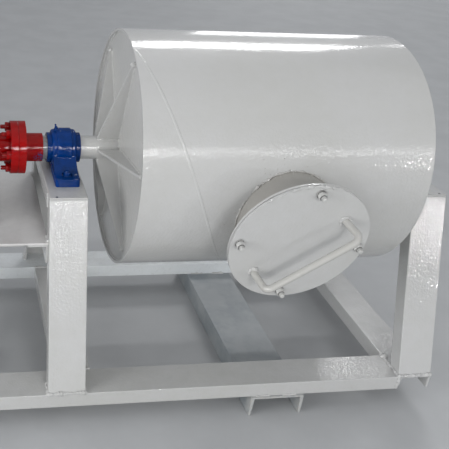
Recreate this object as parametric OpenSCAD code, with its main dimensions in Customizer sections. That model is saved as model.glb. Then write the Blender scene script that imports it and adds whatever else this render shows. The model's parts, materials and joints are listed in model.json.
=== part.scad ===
// Batch ball mill on a welded channel frame, with its geared motor drive.
// The drum turns about the X axis. The origin is on the floor, under the middle of the drum.

/* [Drum] */
// Outer diameter of the drum shell
drum_d = 900; // [800:10:1000]
// Length of the drum shell
drum_len = 1058; // [900:2:1200]
// Wall of the drum shell
shell_t = 10; // [6:1:14]
// Thickness of each end plate
end_t = 12; // [8:1:20]
// How far each end plate sits inside the rim
end_inset = 12; // [8:1:30]

/* [Shaft] */
// Diameter of the trunnion shafts
shaft_d = 90; // [70:1:100]
// Height of the drum axis above the rails
axis_over_rails = 775; // [700:5:850]

/* [Gussets] */
// Number of gusset plates on each end
gusset_count = 6; // [4:1:8]
// Radius of the gusset tips
gusset_r = 398; // [300:2:420]
// How far the gussets run out along the shaft
gusset_out = 86; // [50:1:88]
// Thickness of each gusset plate
gusset_t = 10; // [6:1:16]
// Angle of the first gusset above the back horizontal
gusset_phase = -8; // [-30:1:30]

/* [Hatch] */
// How far the hatch axis points below the horizontal
hatch_drop = 11.5; // [0:0.5:30]
// How far the hatch stands right of the drum's middle
hatch_x = 10; // [-40:1:40]
// Outer diameter of the hatch neck
neck_d = 360; // [280:2:380]
// Wall of the hatch neck
neck_t = 10; // [6:1:14]
// Distance from the drum axis to the outer face of the cover
cover_reach = 585; // [560:1:620]
// Diameter of the hatch cover
cover_d = 490; // [460:2:520]
// Thickness of the cover plate
cover_t = 9; // [6:1:14]
// Thickness of the flange ring behind the cover
flange_t = 9; // [6:1:14]
// Thickness of the gasket between flange and cover
gasket_t = 3; // [2:0.5:6]
// Number of studs round the cover
stud_count = 4; // [4:1:8]
// Diameter of the circle that the studs stand on
stud_circle = 432; // [410:2:440]
// Angle of the first stud above the horizontal
stud_phase = -3; // [-30:1:30]
// Diameter of each stud
stud_d = 18; // [10:1:20]
// How far the studs reach past the cover
stud_reach = 36; // [30:1:45]
// Diameter of the handle bar
handle_d = 25; // [16:1:30]
// Length of the handle from leg to leg
handle_span = 350; // [250:1:360]
// Height of the handle bar's middle above the cover
handle_rise = 98; // [60:1:120]
// How far the handle's middle lies below the middle of the cover
handle_drop = 10; // [0:1:30]
// Angle of the handle above the drum's length
handle_turn = 40; // [0:1:90]
// Angle by which both legs lean along the handle
handle_lean = 7; // [0:1:12]
// Angle by which the whole handle droops from the hatch axis
handle_droop = 5; // [0:1:10]
// Bend radius of the handle bar's middle line
handle_bend = 26; // [20:1:45]

/* [Frame channels] */
// Width of the frame channels
channel_w = 140; // [120:2:160]
// Flange width of the frame channels
channel_b = 60; // [50:1:70]
// Web thickness of the frame channels
channel_web = 8; // [6:0.5:10]
// Mean flange thickness of the frame channels
channel_flange = 9; // [7:0.5:12]
// Outer edge radius of the rolled channels
edge_r = 3; // [1:0.5:6]

/* [Runners] */
// Width of the runner channels under the frame
runner_w = 218; // [200:2:240]
// Height of the runner channels
runner_h = 90; // [70:1:110]
// Web thickness of the runner channels
runner_web = 9; // [7:0.5:12]
// Mean flange thickness of the runner channels
runner_flange = 12; // [9:0.5:14]
// How far the runners reach past the rails
runner_reach = 8; // [0:1:40]
// Where the middle of the drive runner lies, left of the drum's middle
drive_runner_x = 1290; // [1200:5:1400]

/* [Frame] */
// Depth of the base frame from front to back
frame_depth = 1034; // [900:2:1200]
// Gap between the drum's left rim and the left posts
left_gap = 141; // [120:1:200]
// Gap between the drum's right rim and the right posts
right_gap = 77; // [70:1:200]
// Length of the bearing beams from front to back
beam_len = 546; // [440:2:640]
// How far the feet of the posts stand back from the rail's front edge
foot_inset = 4; // [0:1:20]
// Length of the base frame left of the drum's middle
frame_left = 1760; // [1740:5:1900]

/* [Bearings] */
// Height of the bearing centre above its beam
bearing_h = 82; // [78:1:110]
// How far the bearings stand nearer to the drum than the middle of their posts
bearing_shift = 8; // [0:1:15]
// Outer radius of the bearing housing
housing_r = 75; // [72:1:80]
// Width of the bearing housing
housing_w = 94; // [80:1:104]
// Length of the bearing foot from front to back
foot_len = 370; // [300:5:390]
// Width of the bearing foot
foot_w = 90; // [70:1:100]
// Thickness of the bearing foot
foot_t = 29; // [18:1:32]
// Outer radius of the inner ring's collar
collar_r = 57; // [50:1:58]
// Width of the inner ring over its collars
collar_w = 126; // [110:1:136]
// Distance from the bearing centre to each foot bolt
foot_bolt_y = 148; // [130:1:160]
// Diameter of the foot bolt holes
foot_hole_d = 22; // [14:1:26]
// Width of the pocket round each foot bolt
pocket_w = 37; // [30:1:44]

/* [Coupling] */
// Gap between the bearing collar and the coupling hub
hub_gap = 17; // [5:1:30]
// Radius of the coupling hubs
hub_r = 54; // [50:1:60]
// Length of each coupling hub
hub_len = 66; // [40:1:70]
// Radius of the coupling flanges
coupling_r = 100; // [97:1:120]
// Thickness of each coupling flange
coupling_t = 28; // [20:1:40]
// Gap between the two coupling flanges
coupling_gap = 1; // [1:0.5:6]
// Number of coupling pins
pin_count = 6; // [4:1:8]
// Radius of the circle that the coupling pins stand on
pin_circle_r = 78; // [77:1:80]
// Diameter of each coupling pin
pin_d = 18; // [12:1:20]
// Diameter of the rubber bush round each pin
bush_d = 32; // [24:1:34]

/* [Drive platform] */
// Height of the reducer's shaft above the platform
reducer_h = 245; // [225:1:265]
// Thickness of the platform plate
platform_t = 8; // [6:1:14]
// Depth of the platform plate from front to back
platform_depth = 620; // [560:2:640]
// Leg length of the angles under the platform
angle_leg = 75; // [50:1:80]
// Thickness of the angles under the platform
angle_t = 8; // [5:0.5:10]
// Distance of each bearer's outer edge from the middle of the platform
bearer_y = 190; // [120:5:220]

/* [Geared motor] */
// Diameter of the reducer's output shaft
output_d = 80; // [60:1:90]
// Largest radius of the reducer housing
reducer_r = 190; // [160:2:200]
// Length of the reducer housing
reducer_len = 320; // [300:5:340]
// Radius of the motor frame over its fins
motor_r = 130; // [110:1:150]
// Length of the finned motor frame
motor_len = 270; // [240:5:280]
// Length of the motor's fan cover
fan_cover_len = 85; // [60:5:90]
// Number of cooling fins
fin_count = 40; // [24:4:48]
// Thickness of each cooling fin
fin_t = 4; // [3:0.5:6]
// Height of each cooling fin
fin_h = 16; // [8:1:22]
// Number of ribs on the reducer's output cone
cone_rib_count = 8; // [4:1:12]

/* [Hidden] */
$fn = 64;

// Seating gap between pieces that are welded or clamped together
seat = 0.1;
// Running clearance at the shafts, on the radius
run_gap = 0.05;

// Levels
rail_top = runner_h + channel_b;
axis_z = rail_top + axis_over_rails;
beam_top = axis_z - bearing_h;
platform_top = axis_z - reducer_h;
platform_bottom = platform_top - platform_t;

// Places along the drum axis
rim_x = drum_len / 2;
plate_x = rim_x - end_inset;
left_post_x = -rim_x - left_gap - channel_w / 2;
right_post_x = rim_x + right_gap + channel_w / 2;
left_bearing_x = left_post_x + bearing_shift;
right_bearing_x = right_post_x - bearing_shift;
drive_post_x = -frame_left + channel_w / 2;
rail_left = drive_post_x + channel_w / 2;
rail_right = right_post_x - channel_w / 2;
// The left cross member stands a little nearer to the drum than the posts over it
cross_x = left_post_x + 40;
// Rolled flanges taper from root to tip by this much of their length
flange_slope = 0.05;
runner_tip = runner_flange - flange_slope * runner_h / 2;
// The left flange of the drum runner stands under the origin
drum_runner_x = runner_w / 2 - runner_tip + 1;
mill_hub_end = left_bearing_x - collar_w / 2 - hub_gap;
mill_flange_end = mill_hub_end - hub_len - coupling_t;
drive_flange_end = mill_flange_end - coupling_gap - coupling_t;
drive_hub_end = drive_flange_end - hub_len;
reducer_face = drive_hub_end - 22;
motor_face = reducer_face - reducer_len;
motor_end = motor_face - 20 - motor_len;

// The posts lean towards the drum axis and meet the ends of the beams
foot_y = frame_depth / 2 - foot_inset;
lean = atan((foot_y - beam_len / 2) / (beam_top - rail_top));
function post_front_y(z) = foot_y - (z - rail_top) * tan(lean);

// Hatch levels, measured from the drum axis along the hatch axis
cover_back = cover_reach - cover_t;
gasket_back = cover_back - gasket_t;
flange_back = gasket_back - flange_t;

paint = [0.80, 0.79, 0.75];
shade_paint = [0.72, 0.71, 0.67];
steel = [0.55, 0.55, 0.55];
coupling_red = [0.70, 0.08, 0.08];
bearing_blue = [0.05, 0.22, 0.55];
runner_grey = [0.45, 0.49, 0.53];
drive_grey = [0.35, 0.42, 0.45];

// Rolled channel section: the top of the web is at y = 0 and the flanges hang down
module channel_section(w, b, web, flange) {
    root = flange + flange_slope * b / 2;
    tip = flange - flange_slope * b / 2;
    difference() {
        polygon([[-w / 2, 0], [w / 2, 0], [w / 2, -b], [w / 2 - tip, -b], [w / 2 - root, -web],
            [-w / 2 + root, -web], [-w / 2 + tip, -b], [-w / 2, -b]]);
        for (side = [-1, 1])
            translate([side * (w / 2 - edge_r), -edge_r])
                difference() {
                    translate([side > 0 ? 0 : -edge_r - 1, 0]) square([edge_r + 1, edge_r + 1]);
                    circle(edge_r);
                }
    }
}

// Frame channel, web on top, along X from x0 to x1
module channel_along_x(x0, x1, y, top) {
    translate([x0, y, top]) rotate([90, 0, 90])
        linear_extrude(x1 - x0) channel_section(channel_w, channel_b, channel_web, channel_flange);
}

// Frame channel, web on top, along Y and centred on the drum axis
module channel_along_y(x, length, top) {
    translate([x, length / 2, top]) rotate([90, 0, 0])
        linear_extrude(length) channel_section(channel_w, channel_b, channel_web, channel_flange);
}

// Everything in front of the drum axis that leans like the front post at x
module leaning(x) {
    translate([x, -foot_y, rail_top]) rotate([-lean, 0, 0]) children();
}

// Leaning channel post with its web outwards, cut level at its foot and at top
module front_post(x, top) {
    long = (top - rail_top) / cos(lean) + 2 * channel_b;
    intersection() {
        leaning(x) translate([0, 0, -channel_b]) rotate([0, 0, 180])
            linear_extrude(long) channel_section(channel_w, channel_b, channel_web, channel_flange);
        translate([x - channel_w, -frame_depth, rail_top])
            cube([2 * channel_w, frame_depth, top - rail_top]);
    }
}

module back_post(x, top) {
    mirror([0, 1, 0]) front_post(x, top);
}

// Beam on top of a pair of posts, with its flanges cut away where the posts stand
module post_beam(x, length, top) {
    under_web = top - channel_web;
    difference() {
        channel_along_y(x, length, top);
        for (turn = [0, 180])
            translate([x, 0, 0]) rotate([0, 0, turn])
                intersection() {
                    leaning(0) translate([-channel_w, -channel_b, 0])
                        cube([2 * channel_w, 2 * channel_b, 2 * axis_over_rails]);
                    translate([-channel_w, -frame_depth, 0])
                        cube([2 * channel_w, frame_depth, under_web]);
                }
    }
}

// Turns a profile of [radius, x] points round the drum axis, with its x = 0 at x0
module turned(x0) {
    translate([x0, 0, axis_z]) rotate([0, 90, 0]) rotate_extrude() children();
}

// Plain round bar or bore on the drum axis, from x0 to x1
module bar_x(x0, x1, r) {
    translate([x0, 0, axis_z]) rotate([0, 90, 0]) cylinder(r = r, h = x1 - x0);
}

// Turns the hatch axis to +Z, with the drum axis at z = 0 and the drum's length along X
module on_hatch() {
    translate([hatch_x, 0, axis_z]) rotate([90 + hatch_drop, 0, 0]) children();
}

module drum_shell() {
    color(paint)
    difference() {
        bar_x(-rim_x, rim_x, drum_d / 2);
        bar_x(-rim_x - 1, rim_x + 1, drum_d / 2 - shell_t);
        on_hatch() cylinder(r = neck_d / 2 - neck_t, h = drum_d);
    }
}

module end_plate(side) {
    color(shade_paint)
    difference() {
        bar_x(side > 0 ? plate_x - end_t : -plate_x, side > 0 ? plate_x : -plate_x + end_t,
            drum_d / 2 - shell_t - seat);
        bar_x(-drum_len, drum_len, shaft_d / 2 + seat);
    }
}

module left_end_plate() {
    end_plate(-1);
}

module right_end_plate() {
    end_plate(1);
}

// Triangular gussets between the trunnion and the end plate
module gussets(side) {
    nose = 10;
    color(paint)
    for (i = [0 : gusset_count - 1])
        translate([0, 0, axis_z]) rotate([gusset_phase + i * 360 / gusset_count, 0, 0])
            translate([side * plate_x, 0, -gusset_t / 2]) linear_extrude(gusset_t)
                polygon([[0, shaft_d / 2 + 2], [0, gusset_r], [side * nose, gusset_r],
                    [side * gusset_out, shaft_d / 2 + nose], [side * gusset_out, shaft_d / 2 + seat],
                    [side * 4, shaft_d / 2 + seat]]);
}

module left_gussets() {
    gussets(-1);
}

module right_gussets() {
    gussets(1);
}

module left_trunnion() {
    color(paint) bar_x(mill_flange_end + 4, -plate_x + end_t + 15, shaft_d / 2);
}

module right_trunnion() {
    color(paint) bar_x(plate_x - end_t - 15, right_bearing_x + collar_w / 2 + 20, shaft_d / 2);
}

// Inner ring of a bearing, locked on the shaft
module inner_ring(x) {
    color(bearing_blue)
    difference() {
        bar_x(x - collar_w / 2, x + collar_w / 2, collar_r);
        bar_x(x - collar_w, x + collar_w, shaft_d / 2 + run_gap);
    }
}

module left_inner_ring() {
    inner_ring(left_bearing_x);
}

module right_inner_ring() {
    inner_ring(right_bearing_x);
}

module hatch_neck() {
    color(shade_paint)
    difference() {
        on_hatch() cylinder(r = neck_d / 2, h = flange_back - seat);
        on_hatch() translate([0, 0, -1]) cylinder(r = neck_d / 2 - neck_t, h = cover_reach);
        bar_x(-rim_x, rim_x, drum_d / 2 + seat);
    }
}

module stud_places() {
    for (i = [0 : stud_count - 1])
        rotate([0, 0, stud_phase + i * 360 / stud_count]) translate([stud_circle / 2, 0, 0]) children();
}

module hatch_flange() {
    color(shade_paint)
    on_hatch() difference() {
        translate([0, 0, flange_back]) cylinder(d = cover_d, h = flange_t);
        translate([0, 0, flange_back - 1]) cylinder(r = neck_d / 2 - neck_t, h = flange_t + 2);
        translate([0, 0, flange_back - 1]) stud_places() cylinder(d = stud_d + 2 * seat, h = flange_t + 2);
    }
}

module hatch_cover() {
    color(paint)
    on_hatch() difference() {
        union() {
            translate([0, 0, cover_back]) cylinder(d = cover_d, h = cover_t);
            // The gasket is bonded to the back of the cover
            translate([0, 0, gasket_back]) cylinder(d = cover_d - 16, h = gasket_t + 1);
        }
        translate([0, 0, gasket_back - 1]) stud_places() cylinder(d = stud_d + 2 * seat, h = cover_t + 12);
    }
}

// Bent bar with both legs leaning one way, so that one bend is wider than the other. The bends are a hair
// thicker than the bar, and both legs are cut flat where they are welded to the cover.
module hatch_handle() {
    half = handle_span / 2;
    shift = handle_rise * tan(handle_lean);
    leg_long = handle_rise / cos(handle_lean);
    bend_d = handle_d + 0.4;
    bite = 1.5;
    sink = 6;
    color(paint)
    on_hatch() difference() {
        translate([0, -handle_drop, cover_reach + seat])
            rotate([0, 0, handle_turn]) rotate([handle_droop, 0, 0]) {
                for (side = [-1, 1]) {
                    turn = 90 + side * handle_lean;
                    run = handle_bend * tan(turn / 2);
                    translate([side * half, 0, 0]) rotate([0, handle_lean, 0]) translate([0, 0, -sink])
                        cylinder(d = handle_d, h = sink + leg_long - run + bite);
                    translate([side * half + shift - side * run, 0, handle_rise - handle_bend])
                        rotate([90, side > 0 ? handle_lean : -90, 0])
                            rotate_extrude(angle = turn) translate([handle_bend, 0]) circle(d = bend_d);
                }
                bar_left = shift - half + handle_bend * tan((90 - handle_lean) / 2) - bite;
                bar_right = shift + half - handle_bend * tan((90 + handle_lean) / 2) + bite;
                translate([bar_left, 0, handle_rise]) rotate([0, 90, 0])
                    cylinder(d = handle_d, h = bar_right - bar_left);
            }
        translate([0, 0, cover_reach + seat - 2 * sink]) cylinder(d = cover_d, h = 2 * sink);
    }
}

// Studs through flange and cover, each with a washer and a nut
module hatch_studs() {
    washer_t = 4;
    nut_t = 16;
    head_t = 9;
    stud_long = cover_reach - flange_back + stud_reach;
    color(shade_paint)
    on_hatch() stud_places() {
        translate([0, 0, flange_back - seat - head_t]) cylinder(d = stud_d * 1.7, h = head_t, $fn = 6);
        translate([0, 0, flange_back - seat - 1]) cylinder(d = stud_d, h = stud_long);
        translate([0, 0, cover_reach + seat]) cylinder(d = stud_d * 1.9, h = washer_t);
        translate([0, 0, cover_reach + seat + washer_t]) cylinder(d = stud_d * 1.7, h = nut_t, $fn = 6);
    }
}

// Places of the coupling pins, from x0 along the drum axis, the first one level with it
module pin_places(x0) {
    translate([x0, 0, axis_z]) rotate([0, 90, 0])
        for (i = [0 : pin_count - 1])
            rotate([0, 0, 90 + i * 360 / pin_count]) translate([pin_circle_r, 0, 0]) children();
}

module mill_coupling_half() {
    flange_right = mill_flange_end + coupling_t;
    color(coupling_red)
    difference() {
        union() {
            bar_x(mill_flange_end, flange_right, coupling_r);
            bar_x(mill_flange_end, mill_hub_end, hub_r);
        }
        bar_x(mill_flange_end - 1, mill_hub_end + 1, shaft_d / 2 + run_gap);
        pin_places(mill_flange_end - 1) cylinder(d = pin_d + 2 * run_gap, h = coupling_t + 2);
    }
}

module drive_coupling_half() {
    color(coupling_red)
    difference() {
        union() {
            bar_x(drive_flange_end, drive_flange_end + coupling_t, coupling_r);
            bar_x(drive_hub_end, drive_flange_end + coupling_t, hub_r);
        }
        bar_x(drive_hub_end - 1, drive_flange_end + coupling_t + 1, output_d / 2 + run_gap);
        pin_places(drive_flange_end - 1) cylinder(d = bush_d + 2 * run_gap, h = coupling_t + 2);
    }
}

// Pins with their rubber bushes and nuts
module coupling_pins() {
    nut_t = 15;
    stub = 20;
    pin_long = nut_t + stub + 2 * coupling_t + coupling_gap;
    color(coupling_red)
    pin_places(drive_flange_end) {
        translate([0, 0, -nut_t - stub]) cylinder(d = pin_d, h = pin_long);
        translate([0, 0, -nut_t - seat]) cylinder(d = pin_d * 1.9, h = nut_t, $fn = 6);
        cylinder(d = bush_d, h = coupling_t);
    }
}

module reducer_shaft() {
    color(steel) bar_x(reducer_face - 30, drive_flange_end + coupling_t, output_d / 2);
}

module front_rail() {
    color(paint) channel_along_x(rail_left, rail_right, -(frame_depth - channel_w) / 2, rail_top);
}

module back_rail() {
    color(paint) channel_along_x(rail_left, rail_right, (frame_depth - channel_w) / 2, rail_top);
}

module right_end_member() {
    color(paint) channel_along_y(right_post_x, frame_depth, rail_top);
}

module left_cross_member() {
    color(paint) channel_along_y(cross_x, frame_depth - 2 * channel_w, rail_top);
}

module drive_end_member() {
    color(paint) channel_along_y(drive_post_x, frame_depth, rail_top);
}

// Wide channel that lies on the floor under the rails
module runner(x) {
    long = frame_depth + 2 * runner_reach;
    color(runner_grey)
    translate([x, long / 2, runner_h]) rotate([90, 0, 0])
        linear_extrude(long) channel_section(runner_w, runner_h, runner_web, runner_flange);
}

module drum_runner() {
    runner(drum_runner_x);
}

module drive_runner() {
    runner(-drive_runner_x);
}

module left_front_post() {
    color(paint) front_post(left_post_x, beam_top - channel_web);
}

module left_back_post() {
    color(paint) back_post(left_post_x, beam_top - channel_web);
}

module right_front_post() {
    color(paint) front_post(right_post_x, beam_top - channel_web);
}

module right_back_post() {
    color(paint) back_post(right_post_x, beam_top - channel_web);
}

module drive_front_post() {
    color(paint) front_post(drive_post_x, platform_bottom - channel_web);
}

module drive_back_post() {
    color(paint) back_post(drive_post_x, platform_bottom - channel_web);
}

// Beam under a bearing, drilled for the bearing's foot bolts
module bearing_beam(post_x, bearing_x) {
    color(paint)
    difference() {
        post_beam(post_x, beam_len, beam_top);
        for (side = [-1, 1])
            translate([bearing_x, side * foot_bolt_y, beam_top - channel_web - 1])
                cylinder(d = foot_hole_d, h = channel_web + 2);
    }
}

module left_bearing_beam() {
    bearing_beam(left_post_x, left_bearing_x);
}

module right_bearing_beam() {
    bearing_beam(right_post_x, right_bearing_x);
}

module drive_beam() {
    color(paint) post_beam(drive_post_x, 2 * post_front_y(platform_bottom), platform_bottom);
}

platform_right = left_post_x - channel_w / 2;

module drive_platform() {
    color(paint)
    translate([-frame_left, -platform_depth / 2, platform_bottom])
        cube([platform_right + frame_left, platform_depth, platform_t]);
}

// Angle under the platform's right edge, standing against the left posts
module platform_angle() {
    color(paint)
    translate([platform_right, platform_depth / 2, platform_bottom]) rotate([90, 0, 0])
        linear_extrude(platform_depth)
            polygon([[0, 0], [0, -angle_leg], [-angle_t, -angle_leg], [-angle_t, -angle_t],
                [-angle_leg, -angle_t], [-angle_leg, 0]]);
}

// Angle along the platform, between the drive beam and the angle at the posts
module bearer(side) {
    x0 = drive_post_x + channel_w / 2;
    x1 = platform_right - angle_leg;
    y0 = side * bearer_y;
    color(paint)
    translate([x0, y0, platform_bottom]) rotate([90, 0, 90])
        linear_extrude(x1 - x0)
            polygon([[0, 0], [0, -angle_leg], [-side * angle_t, -angle_leg], [-side * angle_t, -angle_t],
                [-side * angle_leg, -angle_t], [-side * angle_leg, 0]]);
}

module front_bearer() {
    bearer(-1);
}

module back_bearer() {
    bearer(1);
}

// Profile of the housing's ring: a raised middle band and two lower shoulders with rounded edges
module ring_profile() {
    band_w = housing_w * 0.62;
    shoulder_r = housing_r - 5;
    round_r = 10;
    translate([0, -band_w / 2 + 4]) square([housing_r, band_w - 8]);
    translate([0, -band_w / 2]) square([housing_r - 4, band_w]);
    translate([0, -housing_w / 2 + round_r]) square([shoulder_r, housing_w - 2 * round_r]);
    translate([0, -housing_w / 2]) square([shoulder_r - round_r, housing_w]);
    for (side = [-1, 1]) {
        translate([housing_r - 4, side * (band_w / 2 - 4)]) circle(4);
        translate([shoulder_r - round_r, side * (housing_w / 2 - round_r)])
            intersection() {
                circle(round_r);
                square(2 * round_r, center = true);
            }
    }
}

// Side outline of the pedestal: both flanks sweep out and end level on the foot
module pedestal_outline() {
    sweep_y = foot_len / 2 - 6;
    sweep_r = 160;
    difference() {
        polygon([[-sweep_y, foot_t / 2], [sweep_y, foot_t / 2], [sweep_y, foot_t + 2],
            [housing_r - 3, bearing_h], [-housing_r + 3, bearing_h], [-sweep_y, foot_t + 2]]);
        for (side = [-1, 1])
            translate([side * sweep_y, foot_t + 2 + sweep_r]) circle(sweep_r);
    }
}

// Pillow block cast in one: ring, pedestal with a pocket for each foot bolt, long foot and grease boss
module bearing_housing(x) {
    foot_r = 9;
    color(bearing_blue)
    difference() {
        union() {
            turned(x) ring_profile();
            translate([x - foot_w / 2 + 2, 0, beam_top]) rotate([90, 0, 90])
                linear_extrude(foot_w - 4) pedestal_outline();
            translate([x, 0, beam_top]) linear_extrude(foot_t) {
                square([foot_w, foot_len - 2 * foot_r], center = true);
                square([foot_w - 2 * foot_r, foot_len], center = true);
                for (sx = [-1, 1], sy = [-1, 1])
                    translate([sx * (foot_w / 2 - foot_r), sy * (foot_len / 2 - foot_r)]) circle(foot_r);
            }
            translate([x - housing_w * 0.3, 0, axis_z]) cylinder(d = 18, h = housing_r + 2);
        }
        bar_x(x - housing_w, x + housing_w, collar_r + run_gap);
        for (side = [-1, 1]) {
            translate([x, side * foot_bolt_y, beam_top - 1]) cylinder(d = foot_hole_d, h = foot_t + 2);
            // The pocket is round behind the bolt and open towards the end of the foot
            translate([x, side * foot_bolt_y, beam_top + foot_t]) cylinder(d = pocket_w, h = bearing_h);
            translate([x - pocket_w / 2, side > 0 ? foot_bolt_y : -foot_len, beam_top + foot_t])
                cube([pocket_w, foot_len - foot_bolt_y, bearing_h]);
        }
    }
}

module left_bearing_housing() {
    bearing_housing(left_bearing_x);
}

module right_bearing_housing() {
    bearing_housing(right_bearing_x);
}

// Reducer housing, from left to right: motor flange, ring gear between two bolted rims, ribbed cone and
// output boss
module reducer_housing() {
    flange_r = motor_r + 20;
    flange_w = 22;
    neck_r = motor_r - 10;
    neck_end = 60;
    gear_start = 80;
    gear_w = 130;
    rim_w = 24;
    groove = 10;
    gear_end = gear_start + gear_w;
    boss_r = output_d / 2 + 70;
    seal_r = boss_r - 15;
    seal_start = reducer_len - 16;
    rib_t = 12;
    color(drive_grey)
    difference() {
        union() {
            turned(motor_face)
                polygon([[0, 0], [flange_r, 0], [flange_r, flange_w], [neck_r, flange_w + 8],
                    [neck_r, neck_end], [reducer_r - 20, gear_start], [reducer_r, gear_start],
                    [reducer_r, gear_start + rim_w], [reducer_r - groove, gear_start + rim_w],
                    [reducer_r - groove, gear_end - rim_w], [reducer_r, gear_end - rim_w],
                    [reducer_r, gear_end], [boss_r + 30, gear_end], [boss_r, gear_end + 15],
                    [boss_r, seal_start], [seal_r, seal_start], [seal_r, reducer_len], [0, reducer_len]]);
            for (i = [0 : cone_rib_count - 1])
                translate([motor_face, 0, axis_z]) rotate([(i + 0.5) * 360 / cone_rib_count, 0, 0])
                    translate([0, 0, -rib_t / 2]) linear_extrude(rib_t)
                        polygon([[gear_end - 2, 0], [gear_end - 2, reducer_r - 12],
                            [gear_end, reducer_r - 12], [seal_start, boss_r + 4], [seal_start, 0]]);
        }
        bar_x(reducer_face - 31, reducer_face + 1, output_d / 2 + run_gap);
    }
}

// Cast foot of the reducer: a pad with two cradle ribs that hold the ring gear, and holes for four bolts
module reducer_foot() {
    foot_x = motor_face + 85;
    long = 200;
    half = 210;
    pad = 28;
    rib_t = 30;
    rib_base = half - 30;
    rib_top = reducer_r - 40;
    bolt_inset_x = 35;
    bolt_inset_y = 26;
    bolt_hole_d = 22;
    color(drive_grey)
    difference() {
        translate([foot_x, 0, platform_top]) {
            translate([0, -half, 0]) cube([long, 2 * half, pad]);
            for (place = [0, long - rib_t])
                translate([place, 0, 0]) rotate([90, 0, 90]) linear_extrude(rib_t)
                    polygon([[-rib_base, pad - 1], [rib_base, pad - 1], [rib_top, reducer_h - 20],
                        [-rib_top, reducer_h - 20]]);
        }
        bar_x(motor_face, reducer_face, reducer_r + seat);
        for (sx = [bolt_inset_x, long - bolt_inset_x], sy = [-1, 1])
            translate([foot_x + sx, sy * (half - bolt_inset_y), platform_top - 1])
                cylinder(d = bolt_hole_d, h = pad + 2);
    }
}

// Motor frame with cooling fins all round, between two end shields
module motor_body() {
    core_r = motor_r - fin_h;
    shield_w = 22;
    color(drive_grey) {
        bar_x(motor_face - 20, motor_face - seat, motor_r + 20);
        bar_x(motor_face - 20 - shield_w, motor_face - 20, motor_r - 2);
        bar_x(motor_end, motor_end + shield_w, motor_r - 2);
        translate([motor_end, 0, axis_z]) rotate([90, 0, 90]) linear_extrude(motor_len) {
            circle(core_r);
            for (i = [0 : fin_count - 1])
                rotate([0, 0, (i + 0.5) * 360 / fin_count]) translate([core_r - 2, -fin_t / 2])
                    square([fin_h + 2, fin_t]);
        }
    }
}

// Fan cover with an air grille of ring slots, each broken by six spokes
module motor_fan_cover() {
    slot_w = 10;
    slot_step = 19;
    slot_depth = 12;
    spoke_w = 9;
    color(drive_grey)
    difference() {
        turned(motor_end - fan_cover_len)
            polygon([[0, 0], [motor_r - 26, 0], [motor_r - 12, 6], [motor_r - 4, 22],
                [motor_r - 4, fan_cover_len - seat], [0, fan_cover_len - seat]]);
        translate([motor_end - fan_cover_len - 1, 0, axis_z]) rotate([90, 0, 90])
            linear_extrude(slot_depth + 1) difference() {
                for (ring = [1 : 4])
                    difference() {
                        circle(ring * slot_step + slot_w);
                        circle(ring * slot_step);
                    }
                for (turn = [0, 60, 120])
                    rotate(turn) square([3 * motor_r, spoke_w], center = true);
            }
    }
}

// Terminal box on top of the motor, with a lid that stands proud all round
module terminal_box() {
    box_l = 120;
    box_w = 110;
    box_h = 46;
    lid_t = 12;
    lid_edge = 4;
    box_x = motor_face - 60 - box_l;
    box_z = axis_z + motor_r - 24;
    color(drive_grey)
    difference() {
        union() {
            translate([box_x, -box_w / 2, box_z]) cube([box_l, box_w, box_h + 1]);
            translate([box_x - lid_edge, -box_w / 2 - lid_edge, box_z + box_h])
                cube([box_l + 2 * lid_edge, box_w + 2 * lid_edge, lid_t]);
        }
        bar_x(motor_end - 1, motor_face, motor_r + seat);
    }
}

drum_shell();
left_end_plate();
right_end_plate();
left_gussets();
right_gussets();
left_trunnion();
right_trunnion();
left_inner_ring();
right_inner_ring();
hatch_neck();
hatch_flange();
hatch_cover();
hatch_handle();
hatch_studs();
mill_coupling_half();
drive_coupling_half();
coupling_pins();
reducer_shaft();
front_rail();
back_rail();
right_end_member();
left_cross_member();
drive_end_member();
drum_runner();
drive_runner();
left_front_post();
left_back_post();
right_front_post();
right_back_post();
drive_front_post();
drive_back_post();
left_bearing_beam();
right_bearing_beam();
drive_beam();
drive_platform();
platform_angle();
front_bearer();
back_bearer();
left_bearing_housing();
right_bearing_housing();
reducer_housing();
reducer_foot();
motor_body();
motor_fan_cover();
terminal_box();
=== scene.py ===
import json
import math

import bpy
import numpy as np
from mathutils import Matrix, Vector


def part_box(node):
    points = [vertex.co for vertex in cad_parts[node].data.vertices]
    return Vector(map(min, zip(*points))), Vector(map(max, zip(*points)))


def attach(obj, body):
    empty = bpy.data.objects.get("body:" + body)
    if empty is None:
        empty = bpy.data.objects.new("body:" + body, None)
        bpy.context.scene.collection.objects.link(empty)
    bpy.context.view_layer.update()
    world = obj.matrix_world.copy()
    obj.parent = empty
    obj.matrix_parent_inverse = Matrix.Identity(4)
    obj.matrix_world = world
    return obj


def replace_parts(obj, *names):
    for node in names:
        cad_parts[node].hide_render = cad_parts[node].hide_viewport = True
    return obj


print("loading the packed mill")
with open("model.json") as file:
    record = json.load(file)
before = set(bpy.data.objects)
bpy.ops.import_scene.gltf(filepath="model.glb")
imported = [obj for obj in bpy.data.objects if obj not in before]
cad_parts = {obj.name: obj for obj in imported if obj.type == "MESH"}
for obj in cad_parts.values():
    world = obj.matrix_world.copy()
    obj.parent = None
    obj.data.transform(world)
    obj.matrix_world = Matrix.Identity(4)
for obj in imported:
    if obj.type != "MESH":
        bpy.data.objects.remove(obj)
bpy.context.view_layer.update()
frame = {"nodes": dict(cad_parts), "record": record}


def addObject(name, data):
    obj = bpy.data.objects.new(name, data)
    bpy.context.scene.collection.objects.link(obj)
    return obj


camera = {
    "place": (-1.1461, -2.6020, 2.0091),
    "yaw": 0.18141,
    "pitch": 0.47982,
    "roll": -0.07155,
    "focal": 738.26,  # focal, middle and picture are in the photograph's own pixels
    "middle": (73.81, 214.30),
    "picture": 449,
}


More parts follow.
